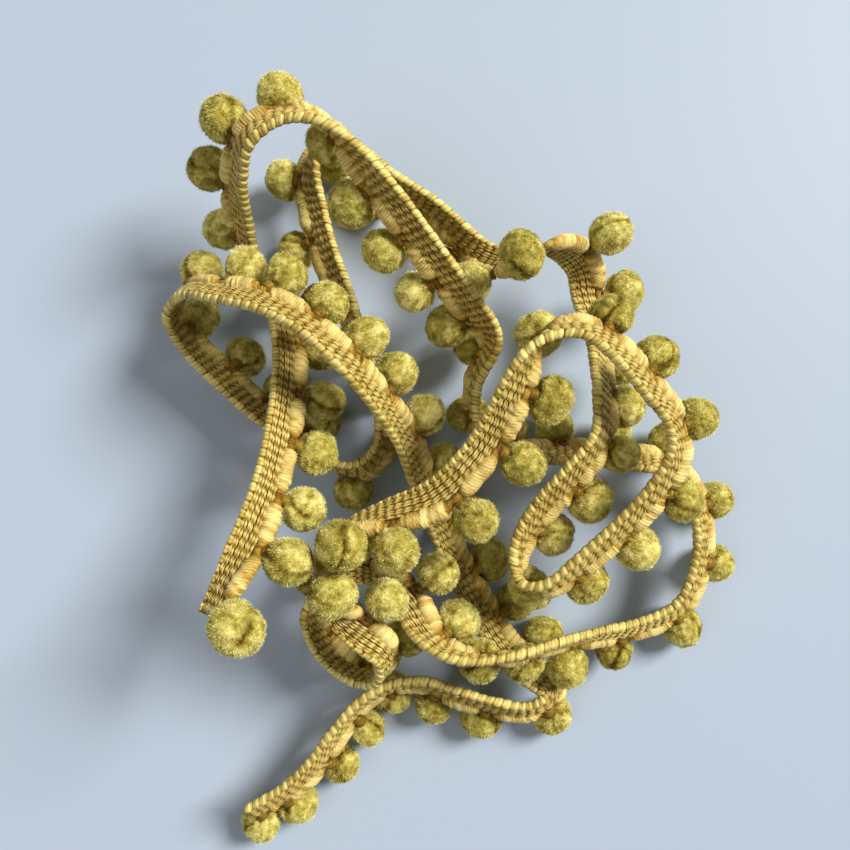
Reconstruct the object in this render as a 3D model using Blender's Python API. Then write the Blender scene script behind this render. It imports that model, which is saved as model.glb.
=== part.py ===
"""Pompom fringe trim, one continuous length lying in a loose heap.

Built the way the trim is made: a narrow braided heading, and beside it the
fringe, a gimp cord of wrapped lobes that carries one pompom on a short neck
every ten millimetres.  Both follow one route through the heap.  The heading
rides high and the pompoms hang below it, so the heap stands on its pompoms.

Lengths are in millimetres and angles in degrees up to the last step, which
turns them into metres.
"""
import math

import bpy
import numpy as np

for old in list(bpy.data.objects):
    bpy.data.objects.remove(old, do_unlink=True)

MM = 0.001

# ---- the trim's own sizes -------------------------------------------------
HEADING_HALF = 2.25        # half the width of the braided heading
HEADING_THICK = 1.4
GAP = 0.3                  # between heading and gimp
STRAIGHT = 0.12            # a bow flatter than this is built straight
GIMP_INNER = HEADING_HALF + GAP
GIMP_AT_POM = 4.4          # outer edge of the gimp where a neck leaves it
GIMP_AT_LOBE = 5.2         # outer edge at the middle of a lobe
GIMP_THICK_POM = 1.5
GIMP_THICK_LOBE = 2.1
NECK_HALF = 0.9            # half the length of gimp that feeds one neck
POM_RADIUS = 4.1
POM_REACH = 8.9            # middle of the heading to middle of a pompom
POM_PITCH = 10.0
FIRST_POM = 2.2            # from the cut end of the heading
LAST_POM = 1.3             # least heading left after the last pompom
END_SPLAY = (35.0, 35.0)   # the outermost pompoms swing out past the cut ends
LAST_PITCH = 3.5           # a cut end this long still carries a pompom
POM_CLEAR = 0.35           # air kept between two pompoms
REST_HEIGHT = 4.0          # middle of a pompom that stands on the board
REST_REACH = 0.8           # a pompom this near the board settles on it
FLAT_BELOW = 1.1           # yarn below this is pressed flat on the board

# ---- the tracing grid -----------------------------------------------------
# The route is drawn as it is seen from straight above by an eye EYE_HEIGHT
# over the board, on a square grid of GRID_STEP whose middle is GRID_MIDDLE.
EYE_HEIGHT = 175.0
GRID_STEP = 0.2
GRID_MIDDLE = 425.0
SHIFT = (-6.51, 11.65)     # puts the middle of the heap over the frame origin

# ---- route of the middle of the heading, one row for each bend ------------
# across, down : where it is seen on the tracing grid
# height       : above the board
# lean         : which way the pompoms point, seen along the route:
#                0 right, 90 down, 180 left, -90 up (and on round, unbroken)
ROUTE = [
    # free end standing up at the front left
    (208, 616, 40, -50),
    (222, 586, 38.5, -42),
    (238, 552, 35.5, -8),
    (254, 514, 32, 22),
    (268, 472, 28.5, 36),
    (277, 430, 25, 36),
    (283, 390, 21, 36),
    (284, 348, 17, 42),
    (273, 305, 13.5, 75),
    (254, 262, 14.5, 112),
    # tall arch at the back left
    (243, 220, 20, 140),
    (238, 175, 29.5, 143),
    (249, 135, 36, 140),
    (283, 115, 37, 130),
    (320, 120, 37, 108),
    (354, 150, 35, 65),
    (395, 200, 32, 45),
    (432, 250, 28, 42),
    (465, 295, 23, 45),
    (493, 340, 17, 55),
    (475, 385, 13, 75), (477, 424, 12.5, 92),
    (501, 450, 12.5, 112), (543, 455, 12.5, 122),
    (582, 456, 12, 126),
    (625, 460, 12, 130),
    (664, 467, 12, 130),
    # outer loop down the right side and back along the front
    (690, 490, 11, 130),
    (701, 530, 11, 130),
    (697, 570, 11, 130),
    (680, 606, 11, 130),
    (640, 626, 12, 130),
    (600, 634, 15, 125),
    (560, 643, 20, 115),
    (522, 655, 24, 112),
    (482, 660, 24.5, 96),
    (448, 654, 24, 78),
    (422, 634, 22, 48),
    (405, 605, 18, 0),
    (386, 580, 14, -45),
    (357, 573, 12, -15),
    (326, 584, 12.5, 50),
    # small curl at the front, lower side
    (309, 608, 12.5, 110),
    (318, 642, 12.5, 130),
    (346, 672, 14, 122),
    (376, 680, 18, 95),
    (384, 658, 23, 50),
    (362, 640, 25, 10),
    (338, 618, 26, -30),
    (321, 590, 26.5, -70),
    (322, 558, 26.5, -88),
    (344, 530, 27, -82),
    # long diagonal and the tall arch on the right
    (384, 512, 28, -48),
    (430, 495, 30, -2),
    (463, 466, 32, 15),
    (486, 436, 33, 20),
    (505, 400, 35, 25),
    (521, 368, 36.5, 45),
    (543, 338, 37, 95),
    (582, 329, 37, 120),
    (617, 352, 36, 130),
    (649, 390, 34, 132),
    (672, 420, 32, 130),
    (676, 453, 31, 132),
    (657, 488, 30, 136),
    (620, 528, 28, 135),
    (580, 563, 27, 130),
    (545, 588, 26, 115),
    (520, 583, 24, 88),
    (518, 548, 23, 58),
    (540, 508, 24, 42),
    (571, 474, 26, 38),
    (599, 438, 27, 50),
    (602, 400, 25, 50),
    (598, 362, 20, 50),
    # bunch at the back right
    (592, 326, 15, 42),
    (583, 298, 12.3, 10),
    (580, 274, 14, -8),
    (569, 257, 19, -46),
    (551, 248, 24.8, -84),
    (529, 254, 22.9, -110),
    (506, 262, 15, -152),
    # low run behind the tall arch
    (482, 251, 12, -210),
    (434, 207, 12, -240),
    (392, 180, 12, -240),
    (352, 148, 12.5, -250),
    (324, 143, 13.5, -280),
    (311, 168, 12.5, -310),
    # down through the arch and under the left loop
    (317, 208, 10.3, -320),
    (328, 250, 10.5, -318),
    (344, 292, 11, -312),
    (361, 338, 12.3, -285),
    (374, 380, 13, -268),
    (382, 416, 12.5, -250), (380, 450, 12, -238),
    (354, 470, 11.5, -240), (323, 458, 11, -275),
    # lower side of the left loop
    (296, 440, 11, -308),
    (258, 412, 11, -312),
    (222, 380, 11, -312),
    (190, 348, 12, -305),
    (170, 318, 15, -275),
    (182, 293, 20, -240),
    # upper side of the left loop, then down under the diagonal
    (222, 294, 27.5, -225),
    (262, 303, 31, -224),
    (304, 325, 32, -230),
    (342, 360, 31, -230),
    (378, 402, 26, -230),
    (404, 442, 19, -228),
    (420, 485, 13, -225),
    (438, 530, 11, -225),
    (458, 575, 10, -217),
    (478, 612, 9, -210),
    (500, 648, 8.5, -208),
    (528, 675, 9.5, -212),
    (552, 694, 11, -225),
    (530, 710, 11, -232),
    (490, 704, 11, -232),
    (455, 694, 11, -232),
    (423, 683, 11, -240),
    (392, 686, 12, -244),
    # tail along the board to the other end
    (361, 703, 12, -246),
    (336, 733, 11.3, -240),
    (309, 770, 11, -230),
    (284, 792, 11, -231),
    (267, 802, 11, -232),
    (249, 812, 11, -232),
]

def seen_to_place(across, down, height):
    """Grid reading and height -> x, y, z of the point itself."""
    k = GRID_STEP * (EYE_HEIGHT - height) / EYE_HEIGHT
    return (across - GRID_MIDDLE) * k, (GRID_MIDDLE - down) * k, height


def through(rows, steps=24):
    """Smooth curve through the rows (centripetal Catmull-Rom)."""
    rows = np.asarray(rows, float)
    ext = np.vstack([2 * rows[0] - rows[1], rows, 2 * rows[-1] - rows[-2]])
    out = []
    for i in range(1, len(rows)):
        p = ext[i - 1:i + 3]
        t = [0.0]
        for a, b in zip(p[:-1], p[1:]):
            t.append(t[-1] + max(np.linalg.norm(b[:3] - a[:3]), 1e-6) ** 0.5)
        for k in range(steps):
            x = t[1] + (t[2] - t[1]) * k / steps
            a1 = (t[1] - x) / (t[1] - t[0]) * p[0] + (x - t[0]) / (t[1] - t[0]) * p[1]
            a2 = (t[2] - x) / (t[2] - t[1]) * p[1] + (x - t[1]) / (t[2] - t[1]) * p[2]
            a3 = (t[3] - x) / (t[3] - t[2]) * p[2] + (x - t[2]) / (t[3] - t[2]) * p[3]
            b1 = (t[2] - x) / (t[2] - t[0]) * a1 + (x - t[0]) / (t[2] - t[0]) * a2
            b2 = (t[3] - x) / (t[3] - t[1]) * a2 + (x - t[1]) / (t[3] - t[1]) * a3
            out.append((t[2] - x) / (t[2] - t[1]) * b1 + (x - t[1]) / (t[2] - t[1]) * b2)
    out.append(rows[-1])
    return np.array(out)


def soften(track, reach):
    """Running mean with a bell-shaped weight, ends kept in place."""
    w = np.hanning(2 * reach + 3)[1:-1]
    w = w / w.sum()
    head = 2 * track[:1] - track[1:reach + 1][::-1]
    tail = 2 * track[-1:] - track[-reach - 1:-1][::-1]
    full = np.vstack([head, track, tail])
    return np.stack([np.convolve(full[:, j], w, "valid")
                     for j in range(track.shape[1])], 1)


def length_along(p):
    return np.concatenate([[0.0], np.cumsum(np.linalg.norm(np.diff(p, axis=0), axis=1))])


def lay_route():
    """Middle line of the heading, with its direction, width and face."""
    rows = [seen_to_place(a, d, h) + (lean,) for a, d, h, lean in ROUTE]
    curve = through(rows)
    s = length_along(curve[:, :3])
    even = np.linspace(0.0, s[-1], int(round(s[-1] / 0.5)) + 1)
    track = np.stack([np.interp(even, s, curve[:, j]) for j in range(4)], 1)
    track = soften(track, 5)
    mid = track[:, :3]
    along = np.gradient(mid, axis=0)
    along /= np.linalg.norm(along, axis=1)[:, None]
    right = np.cross(along, (0.0, 0.0, 1.0))
    right /= np.linalg.norm(right, axis=1)[:, None]
    up = np.cross(right, along)
    lean = np.radians(track[:, 3])[:, None]
    width = np.cos(lean) * right - np.sin(lean) * up
    face = np.cross(along, width)
    return length_along(mid), mid, width, face


S, MID, WIDTH, FACE = lay_route()


def on(table, u):
    return np.stack([np.interp(u, S, table[:, j]) for j in range(3)], -1)


def spot(u, v, n):
    """Point of the trim: u along, v across (pompom side +), n off the face."""
    w, f = on(WIDTH, u), on(FACE, u)
    w = w / np.linalg.norm(w, axis=-1, keepdims=True)
    f = f / np.linalg.norm(f, axis=-1, keepdims=True)
    return on(MID, u) + np.multiply.outer(v, (1, 1, 1)) * w + np.multiply.outer(n, (1, 1, 1)) * f


def hang_poms():
    """Pompom middles: on their necks, nudged apart where two would meet."""
    count = int((S[-1] - FIRST_POM - LAST_POM) // POM_PITCH) + 1
    u = FIRST_POM + POM_PITCH * np.arange(count)
    if S[-1] - LAST_POM - u[-1] > LAST_PITCH:
        u = np.append(u, S[-1] - LAST_POM)
        count += 1
    root = spot(u, np.full(count, GIMP_AT_POM), np.zeros(count))
    want = spot(u, np.full(count, POM_REACH), np.zeros(count))
    neck = POM_REACH - GIMP_AT_POM
    for i, ahead in ((0, root[0] - spot(u[0] + 1.0, GIMP_AT_POM, 0.0)),
                     (-1, root[-1] - spot(u[-1] - 1.0, GIMP_AT_POM, 0.0))):
        out = (want[i] - root[i]) / neck
        ahead = ahead / np.linalg.norm(ahead)
        swing = math.radians(END_SPLAY[i])
        want[i] = root[i] + neck * (out * math.cos(swing) + ahead * math.sin(swing))
    low = want[:, 2] < REST_HEIGHT + REST_REACH
    want[low, 2] = REST_HEIGHT
    at = want.copy()
    band_u = np.arange(0.0, S[-1], 0.8)
    band = np.stack([spot(band_u, np.full(len(band_u), v), np.zeros(len(band_u)))
                     for v in (-1.9, -0.6, 0.7, 2.0, 3.2, 4.5)], 1)
    beside = np.array([-5.0, -4.2, -3.4, -2.6, -1.8, -1.1, 1.1, 1.8, 2.6, 3.4, 4.2, 5.0])
    edge = []
    for x in u:
        e = np.clip(x + beside, 0, S[-1])
        lobe = np.minimum(np.abs(e - x) / (POM_PITCH / 2), 1)
        v = GIMP_AT_POM + (GIMP_AT_LOBE - GIMP_AT_POM) * lobe
        t = (GIMP_THICK_POM + (GIMP_THICK_LOBE - GIMP_THICK_POM) * lobe) / 2
        edge.append(np.vstack([spot(e, v, t), spot(e, v, -t)]))
    for _ in range(400):
        push = np.zeros_like(at)
        gap = at[:, None] - at[None]
        dist = np.linalg.norm(gap, axis=2) + np.eye(count) * 99
        short = np.clip(2 * POM_RADIUS + POM_CLEAR - dist, 0, None)
        push += (gap / dist[..., None] * short[..., None]).sum(1) * 0.45
        for i in range(count):
            away = at[i] - band
            far = np.abs(band_u - u[i]) > 5.5
            d = np.linalg.norm(away, axis=2)
            d[~far] = 99
            k = np.unravel_index(d.argmin(), d.shape)
            miss = POM_RADIUS + 1.45 - d[k]
            if miss > 0:
                push[i] += away[k] / d[k] * miss * 0.6
            away = at[i] - edge[i]
            d = np.linalg.norm(away, axis=1)
            k = d.argmin()
            miss = POM_RADIUS + 0.25 - d[k]
            if miss > 0:
                push[i] += away[k] / d[k] * miss * 0.8
        at += push + 0.02 * (want - at)
        arm = at - root
        size = np.linalg.norm(arm, axis=1, keepdims=True)
        at = root + arm / size * np.clip(size, neck - 0.1, neck + 0.9)
        at[low, 2] = REST_HEIGHT
        at[:, 2] = np.maximum(at[:, 2], REST_HEIGHT)
    return u, root, at, low


POM_U, POM_ROOT, POM_AT, POM_LOW = hang_poms()


def stations():
    """u of each cross-section, the same for heading and gimp, and its kind."""
    out = [(0.0, "end")]
    for i, u in enumerate(POM_U):
        out += [(u - NECK_HALF, "neck"), (u + NECK_HALF, "neck")]
        if i + 1 < len(POM_U):
            out.append(((u + POM_U[i + 1]) / 2, "lobe"))
    out.append((S[-1], "end"))
    return out


def make(name, verts, faces, slot, color, rough):
    mesh = bpy.data.meshes.new(name)
    mesh.from_pydata([tuple(float(c) for c in v) for v in verts], [], faces)
    mesh.update()
    obj = bpy.data.objects.new(name, mesh)
    bpy.context.scene.collection.objects.link(obj)
    mat = bpy.data.materials.new(slot)
    mat.use_nodes = True
    bsdf = mat.node_tree.nodes["Principled BSDF"]
    bsdf.inputs["Base Color"].default_value = color
    bsdf.inputs["Roughness"].default_value = rough
    mat.diffuse_color = color
    mesh.materials.append(mat)
    return obj


def to_frame(points):
    p = np.array(points, float)
    p[:, 0] += SHIFT[0]
    p[:, 1] += SHIFT[1]
    return p * MM


def ring_faces(a, b, n):
    """Triangles from ring a to ring b of n points each, in pairs per side.

    The diagonal of each pair leans the same way on the two facing sides of
    heading and gimp, so the gap between them stays open where they twist.
    """
    out = []
    for k in range(n):
        a0, a1, b1, b0 = a + k, a + (k + 1) % n, b + (k + 1) % n, b + k
        if k < n // 2:
            out.append(((a0, a1, b0), (a1, b1, b0)))
        else:
            out.append(((a0, a1, b1), (a0, b1, b0)))
    return out


def heading():
    """Flat braid: a four-cornered section carried along the route."""
    verts, faces = [], []
    t = HEADING_THICK / 2
    section = [(-HEADING_HALF, -t), (-HEADING_HALF, t), (HEADING_HALF, t), (HEADING_HALF, -t)]
    rings = []
    for u, kind in stations():
        rings.append((kind, np.array([spot(np.array(u), np.array(v), np.array(n)) for v, n in section])))
    # between two pompoms the heading is straight where its middle would not show
    rows = [rings[0]]
    for before, here, after in zip(rings[:-2], rings[1:-1], rings[2:]):
        bow = np.linalg.norm(here[1] - (before[1] + after[1]) / 2, axis=1).max()
        if here[0] != "lobe" or bow > STRAIGHT:
            rows.append(here)
    rows.append(rings[-1])
    for _, ring in rows:
        verts += list(ring)
    for i in range(len(rows) - 1):
        for pair in ring_faces(4 * i, 4 * i + 4, 4):
            faces += pair
    faces.append((3, 2, 1, 0))
    m = 4 * (len(rows) - 1)
    faces.append((m, m + 1, m + 2, m + 3))
    return make("heading_braid", to_frame(verts), faces, "heading_braid",
                (0.60, 0.40, 0.13, 1.0), 0.6)


def zip_loops(ring_a, angle_a, ring_b, angle_b):
    """Triangles between two loops that run the same way round one axis."""
    ia = np.argsort(angle_a)
    ib = np.argsort(angle_b)
    a = [ring_a[i] for i in ia]
    b = [ring_b[i] for i in ib]
    xa = [angle_a[i] for i in ia] + [angle_a[ia[0]] + 2 * math.pi]
    xb = [angle_b[i] for i in ib] + [angle_b[ib[0]] + 2 * math.pi]
    i = j = 0
    tris = []
    while i < len(a) or j < len(b):
        ca, cb = a[i % len(a)], b[j % len(b)]
        step_a = (xa[i + 1] + xa[i]) / 2 if i < len(a) else 1e9
        step_b = (xb[j + 1] + xb[j]) / 2 if j < len(b) else 1e9
        if step_a < step_b:
            tris.append((ca, a[(i + 1) % len(a)], cb))
            i += 1
        else:
            tris.append((ca, b[(j + 1) % len(b)], cb))
            j += 1
    return tris


POM_SIDES = 7
POM_RINGS = (35.0, 72.0, 108.0, 145.0)   # angle from the neck, each ring


def fringe():
    """Gimp cord and its pompoms as one comb."""
    verts, faces = [], []
    rows = stations()
    first = {}
    for u, kind in rows:
        outer = GIMP_AT_LOBE if kind == "lobe" else GIMP_AT_POM
        t = (GIMP_THICK_LOBE if kind == "lobe" else GIMP_THICK_POM) / 2
        first[u] = len(verts)
        for v, n in ((GIMP_INNER, -t), (GIMP_INNER, t), (outer, t), (outer, -t)):
            verts.append(spot(np.array(u), np.array(v), np.array(n)))
    open_after = {u - NECK_HALF for u in POM_U}
    for (u0, _), (u1, _) in zip(rows[:-1], rows[1:]):
        a, b = first[u0], first[u1]
        for k, pair in enumerate(ring_faces(a, b, 4)):
            if k == 2 and u0 in open_after:
                continue
            faces += pair
    faces.append((3, 2, 1, 0))
    m = first[rows[-1][0]]
    faces.append((m, m + 1, m + 2, m + 3))
    for i, u in enumerate(POM_U):
        centre = POM_AT[i]
        axis = centre - POM_ROOT[i]
        axis = axis / np.linalg.norm(axis)
        downward = np.array((0.0, 0.0, -1.0))
        side = downward - axis * axis.dot(downward)
        if np.linalg.norm(side) < 0.2:
            side = WIDTH[0] - axis * axis.dot(WIDTH[0])
        side = side / np.linalg.norm(side)
        other = np.cross(axis, side)
        rings = []
        for polar in POM_RINGS:
            r = POM_RADIUS * math.sin(math.radians(polar))
            back = -POM_RADIUS * math.cos(math.radians(polar))
            ring = []
            for k in range(POM_SIDES):
                a = 2 * math.pi * (k + 0.5) / POM_SIDES
                p = centre + axis * back + side * r * math.cos(a) + other * r * math.sin(a)
                ring.append(len(verts))
                verts.append(p)
            rings.append(ring)
        tip = len(verts)
        verts.append(centre + axis * POM_RADIUS)
        if POM_LOW[i]:
            for k in range(rings[0][0], tip + 1):
                if verts[k][2] < FLAT_BELOW:
                    verts[k] = np.array((verts[k][0], verts[k][1], 0.0))
        a0, b0 = first[u - NECK_HALF], first[u + NECK_HALF]
        hole = [a0 + 2, b0 + 2, b0 + 3, a0 + 3]
        middle = sum(verts[k] for k in hole) / 4

        def turn(k):
            d = verts[k] - middle
            return math.atan2(d.dot(other), d.dot(side)) % (2 * math.pi)

        ang_hole = [turn(k) for k in hole]
        ang_ring = [(2 * math.pi * (k + 0.5) / POM_SIDES) for k in range(POM_SIDES)]
        for tri in zip_loops(hole, ang_hole, rings[0], ang_ring):
            faces.append(tri)
        for ra, rb in zip(rings[:-1], rings[1:]):
            for k in range(POM_SIDES):
                k2 = (k + 1) % POM_SIDES
                faces.append((ra[k], ra[k2], rb[k2], rb[k]))
        last = rings[-1]
        for k in range(POM_SIDES):
            faces.append((last[k], last[(k + 1) % POM_SIDES], tip))
    return make("pompom_fringe", to_frame(verts), faces, "pompom_fringe",
                (0.42, 0.40, 0.12, 1.0), 0.9)


braid = heading()
comb = fringe()

# Faces all look outwards.
for obj in (braid, comb):
    bpy.context.view_layer.objects.active = obj
    obj.select_set(True)
    bpy.ops.object.mode_set(mode="EDIT")
    bpy.ops.mesh.select_all(action="SELECT")
    bpy.ops.mesh.normals_make_consistent(inside=False)
    bpy.ops.object.mode_set(mode="OBJECT")
    obj.select_set(False)
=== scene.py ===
"""Looks of the pompom fringe trim: braided heading, wrapped gimp, necks and cut
yarn pompoms, all laid along the same route as the solids.

Lengths are in millimetres up to build(), which turns them into metres.
"""

import math

import bpy
import numpy as np
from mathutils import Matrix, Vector


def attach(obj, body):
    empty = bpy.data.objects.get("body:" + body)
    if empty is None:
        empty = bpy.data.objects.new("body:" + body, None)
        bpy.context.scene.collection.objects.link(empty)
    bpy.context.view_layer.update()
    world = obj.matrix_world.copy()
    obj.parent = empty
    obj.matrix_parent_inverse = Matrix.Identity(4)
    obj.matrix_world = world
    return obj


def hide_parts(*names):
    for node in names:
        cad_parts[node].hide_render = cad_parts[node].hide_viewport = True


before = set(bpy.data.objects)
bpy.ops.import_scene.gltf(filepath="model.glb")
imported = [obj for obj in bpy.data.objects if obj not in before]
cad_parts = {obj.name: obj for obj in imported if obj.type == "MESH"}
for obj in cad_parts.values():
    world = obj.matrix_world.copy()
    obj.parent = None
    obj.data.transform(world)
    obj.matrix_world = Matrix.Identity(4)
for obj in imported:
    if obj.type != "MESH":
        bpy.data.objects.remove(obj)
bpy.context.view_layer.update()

# ---- the trim's own sizes, as in the solids --------------------------------
HEADING_HALF = 2.25
HEADING_THICK = 1.4
GAP = 0.3
GIMP_INNER = HEADING_HALF + GAP
GIMP_AT_POM = 4.4
GIMP_AT_LOBE = 5.2
GIMP_THICK_POM = 1.5
GIMP_THICK_LOBE = 2.1
POM_RADIUS = 4.1
POM_REACH = 8.9
POM_PITCH = 10.0
FIRST_POM = 2.2
LAST_POM = 1.3
END_SPLAY = (35.0, 35.0)
LAST_PITCH = 3.5
POM_CLEAR = 0.35
REST_HEIGHT = 4.0
REST_REACH = 0.8
EYE_HEIGHT = 175.0
GRID_STEP = 0.2
GRID_MIDDLE = 425.0
SHIFT = (-6.51, 11.65)

# ---- sizes of what is only seen ---------------------------------------------
ROW_PITCH = 1.6            # one row of stitches along the braid
# column of stitches: middle across the braid, half width, threads in each
COLUMNS = [(-0.96, 0.54, 2), (0.12, 0.54, 2), (1.18, 0.52, 2), (1.95, 0.28, 1)]
LOOP_AT = -1.92            # middle of the looped edge across the braid
WRAP_PITCH = 0.52          # one turn of the thread wrapped round the gimp

# across, down on the tracing grid; height over the board; lean of the pompoms
ROUTE = [
    # free end standing up at the front left
    (208, 616, 40, -50),
    (222, 586, 38.5, -42),
    (238, 552, 35.5, -8),
    (254, 514, 32, 22),
    (268, 472, 28.5, 36),
    (277, 430, 25, 36),
    (283, 390, 21, 36),
    (284, 348, 17, 42),
    (273, 305, 13.5, 75),
    (254, 262, 14.5, 112),
    # tall arch at the back left
    (243, 220, 20, 140),
    (238, 175, 29.5, 143),
    (249, 135, 36, 140),
    (283, 115, 37, 130),
    (320, 120, 37, 108),
    (354, 150, 35, 65),
    (395, 200, 32, 45),
    (432, 250, 28, 42),
    (465, 295, 23, 45),
    (493, 340, 17, 55),
    (475, 385, 13, 75), (477, 424, 12.5, 92),
    (501, 450, 12.5, 112), (543, 455, 12.5, 122),
    (582, 456, 12, 126),
    (625, 460, 12, 130),
    (664, 467, 12, 130),
    # outer loop down the right side and back along the front
    (690, 490, 11, 130),
    (701, 530, 11, 130),
    (697, 570, 11, 130),
    (680, 606, 11, 130),
    (640, 626, 12, 130),
    (600, 634, 15, 125),
    (560, 643, 20, 115),
    (522, 655, 24, 112),
    (482, 660, 24.5, 96),
    (448, 654, 24, 78),
    (422, 634, 22, 48),
    (405, 605, 18, 0),
    (386, 580, 14, -45),
    (357, 573, 12, -15),
    (326, 584, 12.5, 50),
    # small curl at the front, lower side
    (309, 608, 12.5, 110),
    (318, 642, 12.5, 130),
    (346, 672, 14, 122),
    (376, 680, 18, 95),
    (384, 658, 23, 50),
    (362, 640, 25, 10),
    (338, 618, 26, -30),
    (321, 590, 26.5, -70),
    (322, 558, 26.5, -88),
    (344, 530, 27, -82),
    # long diagonal and the tall arch on the right
    (384, 512, 28, -48),
    (430, 495, 30, -2),
    (463, 466, 32, 15),
    (486, 436, 33, 20),
    (505, 400, 35, 25),
    (521, 368, 36.5, 45),
    (543, 338, 37, 95),
    (582, 329, 37, 120),
    (617, 352, 36, 130),
    (649, 390, 34, 132),
    (672, 420, 32, 130),
    (676, 453, 31, 132),
    (657, 488, 30, 136),
    (620, 528, 28, 135),
    (580, 563, 27, 130),
    (545, 588, 26, 115),
    (520, 583, 24, 88),
    (518, 548, 23, 58),
    (540, 508, 24, 42),
    (571, 474, 26, 38),
    (599, 438, 27, 50),
    (602, 400, 25, 50),
    (598, 362, 20, 50),
    # bunch at the back right
    (592, 326, 15, 42),
    (583, 298, 12.3, 10),
    (580, 274, 14, -8),
    (569, 257, 19, -46),
    (551, 248, 24.8, -84),
    (529, 254, 22.9, -110),
    (506, 262, 15, -152),
    # low run behind the tall arch
    (482, 251, 12, -210),
    (434, 207, 12, -240),
    (392, 180, 12, -240),
    (352, 148, 12.5, -250),
    (324, 143, 13.5, -280),
    (311, 168, 12.5, -310),
    # down through the arch and under the left loop
    (317, 208, 10.3, -320),
    (328, 250, 10.5, -318),
    (344, 292, 11, -312),
    (361, 338, 12.3, -285),
    (374, 380, 13, -268),
    (382, 416, 12.5, -250), (380, 450, 12, -238),
    (354, 470, 11.5, -240), (323, 458, 11, -275),
    # lower side of the left loop
    (296, 440, 11, -308),
    (258, 412, 11, -312),
    (222, 380, 11, -312),
    (190, 348, 12, -305),
    (170, 318, 15, -275),
    (182, 293, 20, -240),
    # upper side of the left loop, then down under the diagonal
    (222, 294, 27.5, -225),
    (262, 303, 31, -224),
    (304, 325, 32, -230),
    (342, 360, 31, -230),
    (378, 402, 26, -230),
    (404, 442, 19, -228),
    (420, 485, 13, -225),
    (438, 530, 11, -225),
    (458, 575, 10, -217),
    (478, 612, 9, -210),
    (500, 648, 8.5, -208),
    (528, 675, 9.5, -212),
    (552, 694, 11, -225),
    (530, 710, 11, -232),
    (490, 704, 11, -232),
    (455, 694, 11, -232),
    (423, 683, 11, -240),
    (392, 686, 12, -244),
    # tail along the board to the other end
    (361, 703, 12, -246),
    (336, 733, 11.3, -240),
    (309, 770, 11, -230),
    (284, 792, 11, -231),
    (267, 802, 11, -232),
    (249, 812, 11, -232),
]


def seen_to_place(across, down, height):
    k = GRID_STEP * (EYE_HEIGHT - height) / EYE_HEIGHT
    return (across - GRID_MIDDLE) * k, (GRID_MIDDLE - down) * k, height


def through(rows, steps=24):
    rows = np.asarray(rows, float)
    ext = np.vstack([2 * rows[0] - rows[1], rows, 2 * rows[-1] - rows[-2]])
    out = []
    for i in range(1, len(rows)):
        p = ext[i - 1:i + 3]
        t = [0.0]
        for a, b in zip(p[:-1], p[1:]):
            t.append(t[-1] + max(np.linalg.norm(b[:3] - a[:3]), 1e-6) ** 0.5)
        for k in range(steps):
            x = t[1] + (t[2] - t[1]) * k / steps
            a1 = (t[1] - x) / (t[1] - t[0]) * p[0] + (x - t[0]) / (t[1] - t[0]) * p[1]
            a2 = (t[2] - x) / (t[2] - t[1]) * p[1] + (x - t[1]) / (t[2] - t[1]) * p[2]
            a3 = (t[3] - x) / (t[3] - t[2]) * p[2] + (x - t[2]) / (t[3] - t[2]) * p[3]
            b1 = (t[2] - x) / (t[2] - t[0]) * a1 + (x - t[0]) / (t[2] - t[0]) * a2
            b2 = (t[3] - x) / (t[3] - t[1]) * a2 + (x - t[1]) / (t[3] - t[1]) * a3
            out.append((t[2] - x) / (t[2] - t[1]) * b1 + (x - t[1]) / (t[2] - t[1]) * b2)
    out.append(rows[-1])
    return np.array(out)


def soften(track, reach):
    w = np.hanning(2 * reach + 3)[1:-1]
    w = w / w.sum()
    head = 2 * track[:1] - track[1:reach + 1][::-1]
    tail = 2 * track[-1:] - track[-reach - 1:-1][::-1]
    full = np.vstack([head, track, tail])
    return np.stack([np.convolve(full[:, j], w, "valid")
                     for j in range(track.shape[1])], 1)


def length_along(p):
    return np.concatenate([[0.0], np.cumsum(np.linalg.norm(np.diff(p, axis=0), axis=1))])


def lay_route():
    rows = [seen_to_place(a, d, h) + (lean,) for a, d, h, lean in ROUTE]
    curve = through(rows)
    s = length_along(curve[:, :3])
    even = np.linspace(0.0, s[-1], int(round(s[-1] / 0.5)) + 1)
    track = np.stack([np.interp(even, s, curve[:, j]) for j in range(4)], 1)
    track = soften(track, 5)
    mid = track[:, :3]
    along = np.gradient(mid, axis=0)
    along /= np.linalg.norm(along, axis=1)[:, None]
    right = np.cross(along, (0.0, 0.0, 1.0))
    right /= np.linalg.norm(right, axis=1)[:, None]
    up = np.cross(right, along)
    lean = np.radians(track[:, 3])[:, None]
    width = np.cos(lean) * right - np.sin(lean) * up
    face = np.cross(along, width)
    return length_along(mid), mid, width, face


S, MID, WIDTH, FACE = lay_route()
LENGTH = S[-1]


def on(table, u):
    return np.stack([np.interp(u, S, table[:, j]) for j in range(3)], -1)


def spot(u, v, n):
    """Point of the trim: u along, v across (pompom side +), n off the face."""
    u, v, n = np.broadcast_arrays(np.asarray(u, float), np.asarray(v, float), np.asarray(n, float))
    w, f = on(WIDTH, u), on(FACE, u)
    w = w / np.linalg.norm(w, axis=-1, keepdims=True)
    f = f / np.linalg.norm(f, axis=-1, keepdims=True)
    return on(MID, u) + v[..., None] * w + n[..., None] * f


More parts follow.
